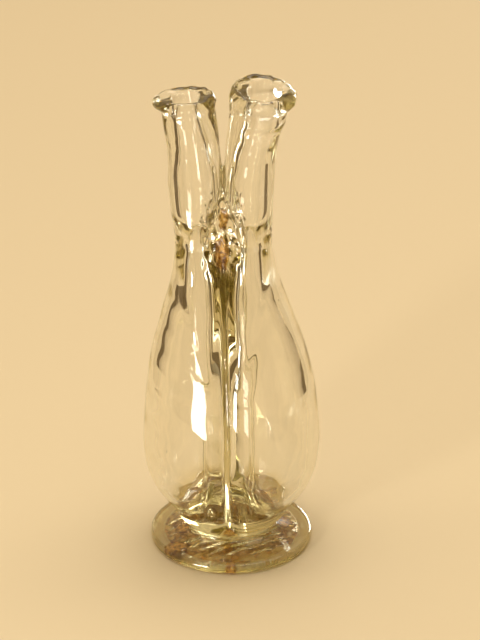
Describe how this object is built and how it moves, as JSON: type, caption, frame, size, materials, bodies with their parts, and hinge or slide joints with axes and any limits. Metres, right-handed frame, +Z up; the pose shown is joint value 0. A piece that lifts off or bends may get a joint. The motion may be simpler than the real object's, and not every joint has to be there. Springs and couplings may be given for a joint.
{
  "type": "multi chamber decanter",
  "caption": "Hand-blown clear glass decanter with side-by-side chambers fused into a pear-shaped body, each with its own neck and lip, on an applied disc foot.",
  "frame": {"origin": "middle of the foot's standing ring, on the surface that the decanter stands on", "axes": "+Z up through the foot and between the chambers; +X across the chambers, towards the taller neck; -Y towards the viewer"},
  "size_m": [0.1046, 0.1028, 0.3018],
  "materials": {
    "clear_glass": "clear, fire-polished, with a faint olive tint where it is thick",
    "lip_glass": "clear, fire-polished, slightly uneven",
    "bead_glass": "clear with tool marks and brown residue in its folds",
    "foot_glass": "clear, thick, with brown residue and light wear",
    "scar_glass": "rough broken glass"
  },
  "bodies": {
    "root": {"left_chamber": "clear_glass", "right_chamber": "clear_glass", "left_lip": "lip_glass", "right_lip": "lip_glass", "fork_bead": "bead_glass", "body_wafer": "foot_glass", "foot": "foot_glass", "pontil_scar": "scar_glass"}
  },
  "joints": []
}
